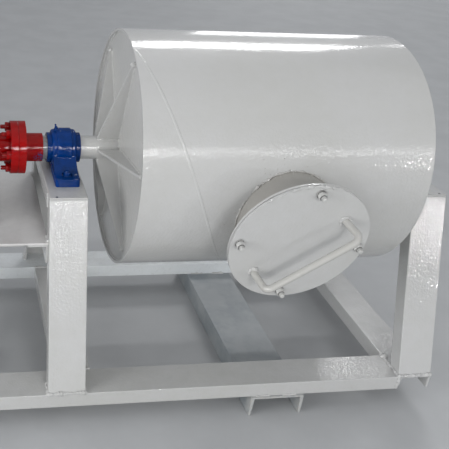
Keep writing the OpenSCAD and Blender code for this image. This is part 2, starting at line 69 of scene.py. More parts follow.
def makeCamera(view):
    # the columns of the turn are the picture's right, up and back directions
    cosYaw, sinYaw = math.cos(view["yaw"]), math.sin(view["yaw"])
    cosPitch, sinPitch = math.cos(view["pitch"]), math.sin(view["pitch"])
    cosRoll, sinRoll = math.cos(view["roll"]), math.sin(view["roll"])
    look = np.array([sinYaw * cosPitch, cosYaw * cosPitch, -sinPitch])
    level = np.array([cosYaw, -sinYaw, 0.0])
    steep = np.cross(look, level)
    right = cosRoll * level + sinRoll * steep
    down = -sinRoll * level + cosRoll * steep
    data = bpy.data.cameras.new("camera")
    data.sensor_width = 36
    data.lens = view["focal"] / view["picture"] * data.sensor_width
    data.shift_x = 0.5 - view["middle"][0] / view["picture"]
    data.shift_y = view["middle"][1] / view["picture"] - 0.5
    data.clip_start, data.clip_end = 0.05, 100
    obj = addObject("camera", data)
    turn = Matrix(np.stack([right, -down, -look], 1).tolist()).to_4x4()
    obj.matrix_world = Matrix.Translation(view["place"]) @ turn
    bpy.context.scene.camera = obj


makeCamera(camera)

# each lamp stands where the photograph's highlights mirror a window, a door or a pale wall
lamps = {
    "frontWindows": {"place": (0.2, -7.0, 3.1), "aim": (0.2, 0, 0.9), "size": (1.6, 0.3), "watts": 105},
    "frontRow": {"place": (4.0, -7.0, 3.25), "aim": (4.0, 0, 0.9), "size": (5.4, 0.22), "watts": 42},
    "frontDoor": {"place": (0.45, -7.0, 1.75), "aim": (0.45, 0, 0.9), "size": (0.45, 0.25), "watts": 15},
    "sideDoor": {"place": (6.0, -7.0, 1.90), "aim": (6.0, 0, 0.9), "size": (0.7, 0.24), "watts": 84},
    "frontBounce": {"place": (-2.8, -4.6, 0.9), "aim": (-0.3, 0, 0.6), "size": (4.0, 1.2), "watts": 38},
    "leftBounce": {"place": (-5.1, -2.0, 2.0), "aim": (-0.6, 0, 0.8), "size": (2.5, 2.4), "watts": 128},
    "roofWindows": {"place": (7.3, 14.0, 14.7), "aim": (7.3, 0, 14.7), "size": (6.4, 5.0), "watts": 1240},
    "sideWindows": {"place": (11.3, 14.0, 10.6), "aim": (11.3, 0, 10.6), "size": (0.8, 1.3), "watts": 15},
    "farDoor": {"place": (6.4, 14.0, 3.4), "aim": (6.4, 0, 3.4), "size": (4.0, 4.0), "watts": 125},
    "roofLight": {"place": (0.3, -0.6, 5.4), "aim": (0, 0, 0.6), "size": (6.0, 6.0), "watts": 33},
}


def makeLamp(name, lamp):
    data = bpy.data.lights.new(name, "AREA")
    data.shape = "RECTANGLE"
    data.size, data.size_y = lamp["size"]
    data.energy = lamp["watts"]
    aim = Vector(lamp["aim"]) - Vector(lamp["place"])
    turn = aim.to_track_quat("-Z", "Y").to_matrix().to_4x4()
    addObject(name, data).matrix_world = Matrix.Translation(lamp["place"]) @ turn


for name, lamp in lamps.items():
    makeLamp(name, lamp)


def feed(tree, node, values):
    # another node's output is linked, and a plain value is set on the socket itself
    for name, value in values.items():
        socket = node.inputs[name]
        if isinstance(value, bpy.types.NodeSocket):
            tree.links.new(value, socket)
        else:
            socket.default_value = value


def put(tree, kind, values=None, **settings):
    node = tree.nodes.new(kind)
    for name, value in settings.items():
        setattr(node, name, value)
    feed(tree, node, values or {})
    return node


def newGroup(name, inputs, outputs):
    # an input takes its kind from its first value: one number, three of a vector or four of a colour
    group = bpy.data.node_groups.new(name, "ShaderNodeTree")
    for label, value in inputs.items():
        kind = {3: "Vector", 4: "Color"}[len(value)] if isinstance(value, tuple) else "Float"
        socket = group.interface.new_socket(label, in_out="INPUT", socket_type="NodeSocket" + kind)
        socket.default_value = value
    for label, kind in outputs.items():
        group.interface.new_socket(label, in_out="OUTPUT", socket_type="NodeSocket" + kind)
    return group, group.nodes.new("NodeGroupInput").outputs, group.nodes.new("NodeGroupOutput")


def useGroup(tree, group, values):
    return put(tree, "ShaderNodeGroup", values, node_tree=group).outputs


def newMaterial(name):
    material = bpy.data.materials.new(name)
    material.use_nodes = True
    return material, material.node_tree, material.node_tree.nodes["Principled BSDF"]


def sums(tree, operation, first, second=0.0, third=0.0, clamp=False):
    return put(tree, "ShaderNodeMath", {0: first, 1: second, 2: third}, operation=operation,
               use_clamp=clamp).outputs[0]


def times(tree, product, *others):
    for other in others:
        product = sums(tree, "MULTIPLY", product, other)
    return product


def compare(tree, operation, first, second):
    return put(tree, "ShaderNodeVectorMath", {0: first, 1: second}, operation=operation).outputs["Value"]


def spotIn(tree):
    return put(tree, "ShaderNodeTexCoord").outputs["Object"]


def partsOf(tree, vector):
    return put(tree, "ShaderNodeSeparateXYZ", {"Vector": vector}).outputs


def noise(tree, scale, detail=2.0, rough=0.5, spot=None, stretch=None):
    spot = spot or spotIn(tree)
    if stretch:
        spot = put(tree, "ShaderNodeMapping", {"Vector": spot, "Scale": stretch}).outputs[0]
    return put(tree, "ShaderNodeTexNoise", {"Vector": spot, "Scale": scale, "Detail": detail,
                                            "Roughness": rough}).outputs[0]


def ramp(tree, value, low, high, first=0.0, last=1.0):
    return put(tree, "ShaderNodeMapRange", {"Value": value, "From Min": low, "From Max": high, "To Min": first,
                                            "To Max": last}, interpolation_type="SMOOTHSTEP").outputs[0]


def blendColour(tree, amount, first, second, mode="MIX"):
    node = put(tree, "ShaderNodeMix", data_type="RGBA", blend_type=mode)
    colours = {index: value if isinstance(value, bpy.types.NodeSocket) else (*value, 1)[:4]
               for index, value in ((6, first), (7, second))}
    feed(tree, node, {0: amount, **colours})
    return node.outputs[2]


def makeSprayedSkin():
    # height of a sprayed enamel: orange peel, slow waves of the plate, ridges of the rolling and a few dust nibs
    group, given, wanted = newGroup("sprayedSkin", {"Peel": 1.0, "Grain": 130.0, "Wave": 1.0, "Ridge": 0.0,
                                                    "Lie": (1.0, 1.0, 1.0)}, {"Height": "Float"})
    peel = times(group, noise(group, given["Grain"], 2, 0.55), given["Peel"])
    wave = times(group, noise(group, 4.5, 1, 0.4), given["Wave"])
    nib = ramp(group, noise(group, 420, 1), 0.70, 0.80)
    ridge = times(group, noise(group, 130, 2, 0.5, None, given["Lie"]), given["Ridge"])
    total = sums(group, "ADD", sums(group, "ADD", peel, wave), sums(group, "ADD", ridge, nib))
    feed(group, wanted, {"Height": total})
    return group


def makePaintTone():
    # slow drift of the colour, and small blotches where the coat is thin
    group, given, wanted = newGroup("paintTone", {"Color": (0.5, 0.5, 0.5, 1.0), "Drift": 0.05}, {"Color": "Color"})
    broad = ramp(group, noise(group, 2.2, 3), 0.3, 0.7, -1.0, 1.0)
    small = ramp(group, noise(group, 26, 4, 0.6), 0.3, 0.7, -0.5, 0.5)
    change = times(group, sums(group, "ADD", broad, small), given["Drift"])
    factor = sums(group, "ADD", change, 1.0)
    grey = put(group, "ShaderNodeCombineColor", {"Red": factor, "Green": factor,
                                                 "Blue": sums(group, "MULTIPLY_ADD", change, 1.4, 1.0)})
    feed(group, wanted, {"Color": blendColour(group, 1.0, given["Color"], grey.outputs[0], "MULTIPLY")})
    return group


def makeSettledDust():
    # dust lies on what faces up, and dirt is splashed on what is near the floor
    group, given, wanted = newGroup("settledDust", {"Color": (0.5, 0.5, 0.5, 1.0), "Dust": (0.3, 0.3, 0.3, 1.0),
                                                    "Amount": 0.5, "Splash": 0.2, "Reach": 0.3},
                                    {"Color": "Color", "Mask": "Float"})
    spot = put(group, "ShaderNodeTexCoord").outputs
    facing = ramp(group, partsOf(group, spot["Normal"])["Z"], 0.45, 1.0)
    cloud = ramp(group, noise(group, 7, 6, 0.65), 0.30, 0.75)
    grains = times(group, ramp(group, noise(group, 310, 2, 0.6), 0.56, 0.68), 0.45)
    lying = times(group, facing, sums(group, "MULTIPLY_ADD", cloud, 0.55, grains), given["Amount"])
    low = sums(group, "DIVIDE", partsOf(group, spot["Object"])["Z"], given["Reach"])
    splash = times(group, ramp(group, low, 1.0, 0.0), ramp(group, noise(group, 60, 6, 0.7), 0.52, 0.72),
                   given["Splash"])
    mask = sums(group, "MAXIMUM", lying, splash, clamp=True)
    feed(group, wanted, {"Color": blendColour(group, mask, given["Color"], given["Dust"]), "Mask": mask})
    return group


def makeWornEdge():
    # rounds the look of a sharp edge, and marks where the round lies
    group, given, wanted = newGroup("wornEdge", {"Radius": 0.002}, {"Normal": "Vector", "Mask": "Float"})
    soft = put(group, "ShaderNodeBevel", {"Radius": given["Radius"]}, samples=4).outputs[0]
    same = compare(group, "DOT_PRODUCT", soft, put(group, "ShaderNodeNewGeometry").outputs["Normal"])
    feed(group, wanted, {"Normal": soft, "Mask": ramp(group, same, 0.99, 0.86)})
    return group


def makeScuffs():
    # fine scuffs that run in two crossing directions, in patches
    group, given, wanted = newGroup("scuffs", {"Amount": 0.5}, {"Mask": "Float"})
    spot = spotIn(group)
    first, second = (ramp(group, noise(group, 60, 2, 0.5, spot, stretch), 0.70, 0.76)
                     for stretch in ((0.25, 0.25, 6.0), (6.0, 0.25, 0.3)))
    patch = ramp(group, noise(group, 5, 2, 0.5, spot), 0.50, 0.65)
    feed(group, wanted, {"Mask": times(group, sums(group, "MAXIMUM", first, second), patch, given["Amount"])})
    return group


sprayedSkin = makeSprayedSkin()
paintTone = makePaintTone()
settledDust = makeSettledDust()
wornEdge = makeWornEdge()
scuffs = makeScuffs()

print("materials")

# peel, wave and ridge are heights in tenths of a millimetre, and grain is the fineness of the peel; lie stretches the
# ridges, calm is the heights between which the peel flows out; drift, dusty, splash and worn are amounts, reach is
# the height of the splashed dirt and edge the radius of the rounded edges, in metres
plainPaint = {"rough": 0.40, "shine": 0.0, "coatRough": 0.03, "wave": 10.0, "ridge": 0.0, "lie": (1.0, 1.0, 1.0),
              "calm": None, "splash": 0.0, "reach": 0.01, "worn": 0.3}
glossPaint = dict(plainPaint, rough=0.42, shine=0.3, coat=1.0, edge=0.0022)
frameLook = dict(glossPaint, colour=(0.490, 0.491, 0.482), coatRough=0.05, peel=10.0, grain=104, wave=8.0, ridge=4.0,
                 lie=(1.0, 0.3, 0.03), drift=0.025, dust=(0.33, 0.33, 0.32), dusty=0.50, splash=0.35, reach=0.25,
                 wearSheen=(0.42, 0.42, 0.41))
drumLook = dict(glossPaint, colour=(0.500, 0.500, 0.490), coatRough=0.04, peel=11.0, grain=90, calm=(0.98, 1.25),
                drift=0.02, dust=(0.45, 0.44, 0.42), dusty=0.10, wearSheen=(0.46, 0.45, 0.43), worn=0.20)
paints = {
    "frameEnamel": frameLook,
    "drumEnamel": drumLook,
    # the worn colours of the blue, red and drive paints are lighter tints of the paint, painted highlights along their
    # edges
    "bearingBlue": dict(plainPaint, colour=(0.0003, 0.028, 0.150), coat=0.34, peel=22.0, grain=42, drift=0.25,
                        dust=(0.01, 0.05, 0.14), dusty=0.20, wearSheen=(0.005, 0.05, 0.19), edge=0.003),
    "couplingRed": dict(plainPaint, colour=(0.255, 0.0008, 0.0010), coat=0.45, peel=9.0, grain=90, wave=4.0,
                        drift=0.20, dust=(0.20, 0.03, 0.03), dusty=0.15, wearSheen=(0.30, 0.02, 0.02), edge=0.002),
    "driveEnamel": dict(plainPaint, colour=(0.060, 0.115, 0.140), rough=0.38, shine=0.3, coat=0.5, coatRough=0.08,
                        peel=6.0, grain=120, wave=4.0, drift=0.12, dust=(0.26, 0.27, 0.27), dusty=0.35,
                        wearSheen=(0.15, 0.20, 0.22), worn=0.4, edge=0.0025),
    "railEnamel": dict(frameLook, lie=(0.03, 1.0, 1.0)),
    # the back rail has the frame's paint made lighter and bluer: painted light and a painted reflection of the pale
    # floor
    "backRailPaintedLight": dict(frameLook, lie=(0.03, 1.0, 1.0), colour=(0.68, 0.71, 0.72)),
    "crossEnamel": dict(frameLook, lie=(1.0, 0.03, 1.0), edge=0.0035),
    "weldEnamel": dict(frameLook, peel=8.0, grain=110, ridge=0.0, dusty=0.2),
    "platformEnamel": dict(frameLook, colour=(0.62, 0.61, 0.60), peel=6.0, ridge=0.0),
    # the neck's darker colour is painted shade from the cover above it, and its brownish dust is dirt
    "neckShadeEnamel": dict(drumLook, colour=(0.34, 0.33, 0.305), dusty=0.5, dust=(0.27, 0.25, 0.22)),
    "handleEnamel": dict(drumLook, colour=(0.45, 0.443, 0.42)),
    "studEnamel": dict(drumLook, colour=(0.50, 0.50, 0.485), peel=3.0, worn=0.5, edge=0.0008),
    "pittedEnamel": dict(drumLook, colour=(0.46, 0.45, 0.43), peel=9.0, grain=110, wave=0.0),
}


def coatOf(tree, look):
    # the paint film alone: its colour with wear, a painted sheen along the edges and dust, its roughness and its bumpy
    # normal
    edge = useGroup(tree, wornEdge, {"Radius": look["edge"]})
    tone = useGroup(tree, paintTone, {"Color": (*look["colour"], 1), "Drift": look["drift"]})
    scuff = useGroup(tree, scuffs, {"Amount": look["worn"]})
    # scuffs and rubbed edges take the worn colour; along the edges it also stands for light: on the blue, red and drive
    # paints a lighter tint, a painted edge highlight, and on the frame and drum a darker grey
    rubbedAndSheen = times(tree, edge["Mask"], look["worn"], ramp(tree, noise(tree, 45, 4, 0.7), 0.45, 0.62))
    wearAndSheen = sums(tree, "MAXIMUM", rubbedAndSheen, scuff["Mask"], clamp=True)
    dust = useGroup(tree, settledDust, {"Color": blendColour(tree, wearAndSheen, tone["Color"], look["wearSheen"]),
                                        "Dust": (*look["dust"], 1), "Amount": look["dusty"],
                                        "Splash": look["splash"], "Reach": look["reach"]})
    rough = sums(tree, "MULTIPLY_ADD", dust["Mask"], 0.45, look["rough"])
    rough = sums(tree, "MULTIPLY_ADD", noise(tree, 14, 4, 0.6), 0.12, rough)
    rough = sums(tree, "SUBTRACT", rough, 0.06, clamp=True)
    peel = look["peel"]
    if look["calm"]:
        # the peel flows out smooth towards the top of the drum
        peel = ramp(tree, partsOf(tree, spotIn(tree))["Z"], *look["calm"], peel, 0.5 * peel)
    skin = useGroup(tree, sprayedSkin, {"Peel": peel, "Grain": look["grain"], "Wave": look["wave"],
                                        "Ridge": look["ridge"], "Lie": look["lie"]})
    bump = put(tree, "ShaderNodeBump", {"Strength": 1.0, "Distance": 0.0001, "Height": skin["Height"],
                                        "Normal": edge["Normal"]})
    return dust["Color"], rough, bump.outputs[0], edge["Mask"]


def paintedMetal(name, look, stain=None):
    material, tree, shader = newMaterial(name)
    colour, rough, normal, edge = coatOf(tree, look)
    coat = look["coat"]
    if coat < 1:
        # the film pools along edges and shines more there
        coat = ramp(tree, edge, 0.0, 0.6, coat, 1.0)
    feed(tree, shader, {"Base Color": stain(tree, colour) if stain else colour, "Roughness": rough, "Normal": normal,
                        "Coat Normal": normal, "Specular IOR Level": look["shine"], "Coat Weight": coat,
                        "Coat Roughness": look["coatRough"]})
    return material


marks = {"smear": (-0.824, -0.050, 0.903), "smearColour": (0.030, 0.050, 0.150),
         "holes": ((-0.783, -0.2655, 0.8465), (0.721, -0.2643, 0.8465)), "holeShadeColour": (0.02, 0.02, 0.02),
         "pitShadeAndSlagColour": (0.10, 0.098, 0.090), "creviceShadeColour": (0.06, 0.058, 0.052), "rustColour": (0.17, 0.11, 0.075)}


def blueSmear(tree, colour):
    # bearing paint wiped on to the low front side of the hub's end
    spot = spotIn(tree)
    near = ramp(tree, compare(tree, "DISTANCE", spot, marks["smear"]), 0.030, 0.012)
    broken = ramp(tree, noise(tree, 150, 3, 0.6, spot), 0.50, 0.53)
    return blendColour(tree, times(tree, near, broken), colour, marks["smearColour"])


def holeShadeDots(tree, colour):
    # a near-black dot at the top of each front post, the painted shade of a small hole in the weld there
    for place in marks["holes"]:
        hole = ramp(tree, compare(tree, "DISTANCE", spotIn(tree), place), 0.0075, 0.0050)
        colour = blendColour(tree, hole, colour, marks["holeShadeColour"])
    return colour


def pitShadeAndSlag(tree, colour):
    # small dark specks along the weld: the painted shade of pits, and slag specks
    specks = ramp(tree, noise(tree, 130, 3, 0.6), 0.60, 0.66)
    return blendColour(tree, times(tree, specks, 0.55), colour, marks["pitShadeAndSlagColour"])


def creviceShade(tree, colour):
    # painted shade where the light hardly reaches: the joints of nut, washer and cover are darkened by ambient
    # occlusion
    dark = put(tree, "ShaderNodeAmbientOcclusion", {"Distance": 0.012}, samples=8)
    return blendColour(tree, ramp(tree, dark.outputs["AO"], 0.78, 0.50), colour, marks["creviceShadeColour"])


def bareShaftEnds(tree, colour):
    # the shaft stays bare steel from the bearings outwards, with a ragged edge to the paint
    spot = spotIn(tree)
    along = sums(tree, "MULTIPLY_ADD", noise(tree, 50, 4, 0.7, spot), 0.012,
                 sums(tree, "ABSOLUTE", partsOf(tree, spot)["X"]))
    steel = blendColour(tree, ramp(tree, noise(tree, 34, 5, 0.7, spot), 0.42, 0.68), (0.23, 0.25, 0.27),
                        marks["rustColour"])
    return blendColour(tree, ramp(tree, along, 0.742, 0.746), colour, steel)


steelLook = {"colour": (0.50, 0.50, 0.49), "rough": 0.28, "rusty": 0.5, "bloom": (0.16, 0.075, 0.035)}


def turnedSteel(name, look):
    # bare shaft: fine turning marks round X, and a thin bloom of rust
    material, tree, shader = newMaterial(name)
    grooves = noise(tree, 1.0, 3, 0.6, None, (900, 4, 4))
    bloom = times(tree, ramp(tree, noise(tree, 40, 6, 0.7), 0.50, 0.75), look["rusty"])
    rough = sums(tree, "MULTIPLY_ADD", sums(tree, "ADD", grooves, bloom), 0.25, look["rough"])
    bump = put(tree, "ShaderNodeBump", {"Strength": 0.6, "Distance": 0.00005, "Height": grooves})
    feed(tree, shader, {"Base Color": blendColour(tree, bloom, look["colour"], look["bloom"]), "Roughness": rough,
                        "Metallic": sums(tree, "MULTIPLY_ADD", bloom, -0.9, 1.0, clamp=True),
                        "Normal": bump.outputs[0]})
    return material


channelLook = {"scale": ((0.25, 0.28, 0.30), (0.37, 0.39, 0.40)), "spray": (0.46, 0.455, 0.43),
               "dust": (0.31, 0.33, 0.35), "dusty": 0.8, "splash": 0.6, "reach": 0.10, "edge": 0.003}


def dustyChannel(name, look):
    # mill-scale channel under grey dust, with overspray of the frame's paint where the rails cross it
    material, tree, shader = newMaterial(name)
    edge = useGroup(tree, wornEdge, {"Radius": look["edge"]})
    spot = spotIn(tree)
    scale = blendColour(tree, ramp(tree, noise(tree, 6, 5, 0.6, spot), 0.35, 0.65), *look["scale"])
    nearRail = ramp(tree, sums(tree, "ABSOLUTE", partsOf(tree, spot)["Y"]), 0.46, 0.525)
    spray = times(tree, nearRail, ramp(tree, noise(tree, 70, 5, 0.75, spot), 0.30, 0.62), 0.8)
    dust = useGroup(tree, settledDust, {"Color": blendColour(tree, spray, scale, look["spray"]),
                                        "Dust": (*look["dust"], 1), "Amount": look["dusty"],
                                        "Splash": look["splash"], "Reach": look["reach"]})
    rub = times(tree, edge["Mask"], ramp(tree, noise(tree, 55, 4, 0.7, spot), 0.40, 0.60), 0.6)
    swell = times(tree, noise(tree, 12, 2, 0.5, spot), 2.0)
    height = sums(tree, "ADD", noise(tree, 160, 4, 0.7, spot), swell)
    bump = put(tree, "ShaderNodeBump", {"Strength": 0.8, "Distance": 0.0003, "Height": height,
                                        "Normal": edge["Normal"]})
    feed(tree, shader, {"Base Color": blendColour(tree, rub, dust["Color"], marks["rustColour"]),
                        "Roughness": sums(tree, "MULTIPLY_ADD", dust["Mask"], 0.3, 0.5), "Normal": bump.outputs[0]})
    return material


stains = {"couplingRed": blueSmear, "frameEnamel": holeShadeDots, "weldEnamel": holeShadeDots, "crossEnamel": holeShadeDots,
          "pittedEnamel": pitShadeAndSlag, "studEnamel": creviceShade}
finishes = {name: paintedMetal(name, look, stains.get(name)) for name, look in paints.items()}
finishes["shaftEnamel"] = paintedMetal("shaftEnamel", drumLook, bareShaftEnds)
finishes["shaftSteel"] = turnedSteel("shaftSteel", steelLook)
finishes["runnerSteel"] = dustyChannel("runnerSteel", channelLook)

slotFinish = {
    "mill_paint": "frameEnamel",
    "stud_steel": "studEnamel",
    "bearing_paint": "bearingBlue",
    "coupling_paint": "couplingRed",
    "drive_paint": "driveEnamel",
    "bare_steel": "shaftSteel",
    "runner_steel": "runnerSteel",
}
# nodes whose finish is not that of their slot
ownFinish = {
    "drumEnamel": ("drum_shell", "left_end_plate", "right_end_plate", "left_gussets", "right_gussets",
                   "hatch_flange", "hatch_cover"),
    "shaftEnamel": ("left_trunnion", "right_trunnion"),
    "neckShadeEnamel": ("hatch_neck",),
    "handleEnamel": ("hatch_handle",),
    "platformEnamel": ("drive_platform",),
    "railEnamel": ("front_rail",),
    "backRailPaintedLight": ("back_rail",),
    "crossEnamel": ("right_end_member", "left_cross_member", "drive_end_member", "left_bearing_beam",
                    "right_bearing_beam", "drive_beam"),
}
nodeFinish = {part["node"]: slotFinish[part["material_slot"]] for part in frame["record"]["subparts"]}
nodeFinish.update((node, finish) for finish, names in ownFinish.items() for node in names)
for name, node in frame["nodes"].items():
    node.data.materials.clear()
    node.data.materials.append(finishes[nodeFinish[name]])


def unit(vectors):
    return vectors / np.linalg.norm(vectors, axis=-1, keepdims=True)


def turns(count):
    # even angles round a circle
    return np.linspace(0, 2 * math.pi, count, endpoint=False)


def sheetPart(points, loopRows=False, loopColumns=True, poles=False):
    # a grid of points as quads: rows along the first index, columns round it, and with poles the first and last
    # rows close to their own middles with fans
    rows, columns = points.shape[:2]
    verts = points.reshape(-1, 3)
    down = np.arange(rows if loopRows else rows - 1)[:, None]
    across = np.arange(columns if loopColumns else columns - 1)[None, :]
    nextDown, nextAcross = (down + 1) % rows, (across + 1) % columns
    corner = [down * columns + across, down * columns + nextAcross, nextDown * columns + nextAcross,
              nextDown * columns + across]
    quads = np.stack([np.broadcast_to(c, (down.size, across.size)).ravel() for c in corner], 1)
    tris = np.zeros((0, 3), int)
    if poles:
        ring = np.arange(columns)
        nextRing = (ring + 1) % columns
        base = (rows - 1) * columns
        first = np.stack([np.full(columns, len(verts)), nextRing, ring], 1)
        last = np.stack([np.full(columns, len(verts) + 1), base + ring, base + nextRing], 1)
        verts = np.concatenate([verts, [points[0].mean(0), points[-1].mean(0)]])
        tris = np.concatenate([first, last])
    return verts, quads, tris


def outward(part):
    # a closed surface whose volume comes out negative is turned inside out
    verts, quads, tris = part
    faces = np.concatenate([quads[:, [0, 1, 2]], quads[:, [0, 2, 3]], tris])
    a, b, c = (verts[faces[:, i]] - verts.mean(0) for i in range(3))
    if np.einsum("ij,ij->i", a, np.cross(b, c)).sum() < 0:
        return verts, quads[:, ::-1], tris[:, ::-1]
    return part


def makePiece(name, parts, finish, body=None):
    # a piece without a body is an open sheet, and keeps the side it was made with
    parts = [outward(part) for part in parts] if body else parts
    starts = np.cumsum([0] + [len(part[0]) for part in parts])
    verts = np.concatenate([part[0] for part in parts])
    quads, tris = (np.concatenate([part[i] + start for part, start in zip(parts, starts)]) for i in (1, 2))
    mesh = bpy.data.meshes.new(name)
    mesh.vertices.add(len(verts))
    mesh.vertices.foreach_set("co", verts.astype(np.float32).ravel())
    mesh.loops.add(quads.size + tris.size)
    mesh.loops.foreach_set("vertex_index", np.concatenate([quads.ravel(), tris.ravel()]).astype(np.int32))
    sides = np.concatenate([np.full(len(quads), 4), np.full(len(tris), 3)])
    mesh.polygons.add(len(sides))
    mesh.polygons.foreach_set("loop_start", np.concatenate([[0], np.cumsum(sides)[:-1]]).astype(np.int32))
    mesh.update(calc_edges=True)
    mesh.validate()
    mesh.shade_smooth()
    mesh.set_sharp_from_angle(angle=math.radians(38))
    obj = addObject(name, mesh)
    obj.data.materials.append(finishes[finish])
    if body:
        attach(obj, body)
    return obj


upward = (0.0, 0.0, 1.0)


def axes(direction, hint=upward):
    # three unit directions, with the last along direction and the first as near to hint as it can be
    along = unit(np.asarray(direction, float))
    hint = np.asarray(hint, float)
    if abs(along @ unit(hint)) > 0.95:
        hint = np.array([1.0, 0.0, 0.0])
    side = unit(hint - (hint @ along) * along)
    return np.stack([side, np.cross(along, side), along])


def tube(radius, height, centre, direction, around, hint=upward, loop=False):
    # radius and height over a grid of rows and even angles, carried to a place and a direction; a tube that is not
    # a loop closes on its axis
    angle = turns(around)
    x, y = radius * np.cos(angle), radius * np.sin(angle)
    local = np.stack([x, y, np.broadcast_to(height, x.shape)], 2)
    return sheetPart(local @ axes(direction, hint) + np.asarray(centre, float), loopRows=loop, poles=not loop)


def turned(profile, centre, direction, around=32, loop=False):
    # a profile of radius and height carried round an axis
    profile = np.asarray(profile, float)
    return tube(profile[:, :1], profile[:, 1:], centre, direction, around, loop=loop)


def hexPiece(across, height, centre, direction, bore=0.0, crown=0.12, around=48, hint=upward):
    # a nut or a bolt's head: the radius of a hexagon at each angle, held down near both ends by a cone
    flat = across / 2 / np.cos((turns(around) + math.pi / 6) % (math.pi / 3) - math.pi / 6)
    levels = np.array([0.0, 0.0, 0.02, crown, 1 - crown, 0.98, 1.0, 1.0]) * height
    cone = across / 2 * np.array([0.6, 0.97, 1.0, 1.16, 1.16, 1.0, 0.97, 0.6])
    radius = np.minimum(flat[None], cone[:, None])
    if bore:
        radius[0] = radius[-1] = bore
        levels[0], levels[-1] = height * 0.04, height * 0.96
    return tube(radius, levels[:, None], centre, direction, around, hint, bool(bore))


def threaded(radius, length, pitch, centre, direction, around=20):
    # a screw's end: a saw-tooth in height and angle cut into a rod, fading to a plain cone at its tip
    height = np.linspace(0, length, max(int(length / pitch * 5), 6))[:, None]
    tooth = np.abs((height / pitch - turns(around)[None] / (2 * math.pi)) % 1 - 0.5) * 2
    tip = np.clip((length - height) / (radius * 0.35), 0, 1)
    size = (radius - 0.55 * pitch * tooth) * (0.72 + 0.28 * np.sqrt(tip))
    return tube(size, height, centre, direction, around)


def weldBead(path, radius, seed, lift, loop=False, pitch=0.007, ripple=0.16, lumps=0.18, step=0.0022, around=10):
    # an oval section carried along a path: its radius swells at every ripple, wanders slowly between and is a
    # little uneven round the section, and both ends round off
    path = np.asarray(path, float)
    if loop:
        path = np.concatenate([path, path[:1]])
    length = np.concatenate([[0], np.cumsum(np.linalg.norm(np.diff(path, axis=0), axis=1))])
    count = max(int(length[-1] / step), 6)
    along = np.linspace(0, length[-1], count, endpoint=not loop)
    line = np.stack([np.interp(along, length, path[:, i]) for i in range(3)], 1)
    ahead = unit(np.roll(line, -1, 0) - np.roll(line, 1, 0) if loop else np.gradient(line, axis=0))
    lift = np.broadcast_to(np.asarray(lift, float), line.shape)
    side = unit(lift - (lift * ahead).sum(1, keepdims=True) * ahead)
    other = np.cross(ahead, side)
    draw = np.random.default_rng(seed)
    knots = max(int(length[-1] / 0.011), 5)  # the slow changes have a knot every 11 mm
    places = np.linspace(0, length[-1], knots)
    period = length[-1] if loop else None
    wander, drift, phase = (np.interp(along, places, draw.normal(0, 1, knots), period=period) for _ in range(3))
    angle = turns(around)[None]
    wave = np.abs(np.sin(math.pi * along / pitch + 0.5 * phase))[:, None]
    size = radius * (1 + ripple * (wave - 0.5) + lumps * wander[:, None]
                     + 0.5 * lumps * np.sin(2 * angle + 2 * phase[:, None]) + 0.05 * draw.normal(0, 1, (count, around)))
    size = np.clip(size, 0.35 * radius, 1.9 * radius)
    if not loop:
        ends = np.clip(np.minimum(along, length[-1] - along) / (radius * 0.8), 0.05, 1)[:, None]
        size = size * np.sqrt(ends * (2 - ends))
    centre = line + 0.35 * lumps * radius * drift[:, None] * other
    points = centre[:, None] + size[..., None] * (np.cos(angle)[..., None] * side[:, None]
                                                  + np.sin(angle)[..., None] * other[:, None])
    return sheetPart(points, loopRows=loop, poles=not loop)


def droplets(places, lifts, sizes):
    # weld spatter: each drop is a low dome, a profile of a few rings turned round its own normal
    ring = np.linspace(0.12, 1.0, 4) * math.pi / 2
    profile = np.stack([np.sin(ring), np.cos(ring) * 0.75], 1)[::-1]
    return [turned(profile * size + np.array([0, -0.25 * size]), place, lift, 8)
            for place, lift, size in zip(places, lifts, sizes)]


# places that the pieces share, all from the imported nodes

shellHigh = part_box("drum_shell")[1]
ringLow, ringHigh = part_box("left_inner_ring")
trunnionLow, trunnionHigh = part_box("left_trunnion")
axisZ = (ringLow.z + ringHigh.z) / 2
rimX = shellHigh.x
shellR = shellHigh.z - axisZ
plateX, plateR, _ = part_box("right_end_plate")[1]
shaftR = (trunnionHigh.z - trunnionLow.z) / 2
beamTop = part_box("left_bearing_beam")[1].z
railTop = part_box("front_rail")[1].z
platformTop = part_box("drive_platform")[1].z
bearingX = [sum(corner.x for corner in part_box(side + "_bearing_housing")) / 2 for side in ("left", "right")]
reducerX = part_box("reducer_housing")[0].x
axisMiddle = np.array([0.0, 0.0, axisZ])

hatch = {"drop": math.radians(11.5), "along": 0.010, "neck": 0.180, "flangeBack": 0.5639, "cover": 0.585,
         "coverR": 0.2440, "studCircle": 0.216, "studPhase": math.radians(-3), "handleTurn": math.radians(40),
         "handleHalf": 0.175, "handleDrop": 0.010, "handleBar": 0.0125}
hatchOut = np.array([0.0, -math.cos(hatch["drop"]), -math.sin(hatch["drop"])])
hatchUp = np.array([0.0, -math.sin(hatch["drop"]), math.cos(hatch["drop"])])
hatchSide = np.array([1.0, 0.0, 0.0])


def onHatch(side, up, out):
    # points measured along the drum and up the cover from the hatch's middle, and out from the drum axis
    side, up, out = np.broadcast_arrays(side, up, out)
    middle = axisMiddle + hatch["along"] * hatchSide
    return middle + side[..., None] * hatchSide + up[..., None] * hatchUp + out[..., None] * hatchOut


def circleOn(radius, count):
    return radius * np.cos(turns(count)), radius * np.sin(turns(count))


def spotsRound(count, radius, phase=0.0):
    # places round the drum axis, as offsets in y and z with their own angles
    angle = phase + np.arange(count) * 2 * math.pi / count
    return zip(radius * np.cos(angle), radius * np.sin(angle), angle)


print("drum welds")

